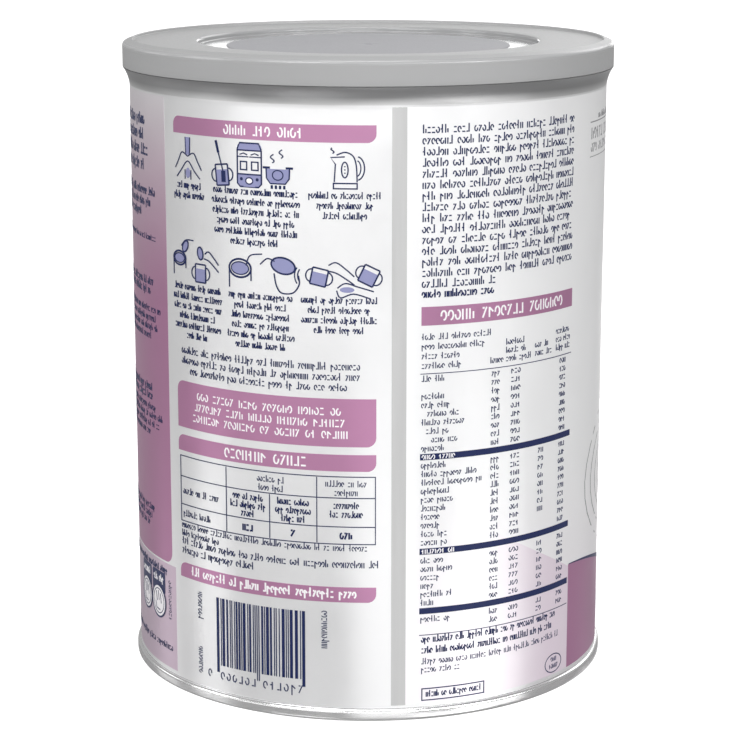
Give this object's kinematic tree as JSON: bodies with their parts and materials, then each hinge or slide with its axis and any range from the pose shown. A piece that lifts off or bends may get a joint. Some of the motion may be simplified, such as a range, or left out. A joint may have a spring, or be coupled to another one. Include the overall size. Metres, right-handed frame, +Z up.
{
  "type": "toddler formula tin",
  "caption": "Shut cylindrical steel tin of toddler milk powder with a seamed base, a flared neck and a grey plastic overcap, printed all round in white, silver and mauve.",
  "frame": {"origin": "centre of the base, on the surface that the tin stands on", "axes": "+Z up along the tin's axis, with the weld and the two text panels on the -Y side"},
  "size_m": [0.1306, 0.1306, 0.1688],
  "materials": {
    "printed_steel": "glossy lacquered print, white and silver with mauve fields, over bare tinplate at the seams",
    "tinplate": "bright bare tinplate",
    "lid_plastic": "satin grey polyethylene with a fine moulded grain"
  },
  "bodies": {
    "root": {"tin_body": "printed_steel", "base_end": "tinplate", "lid": "lid_plastic"}
  },
  "joints": []
}
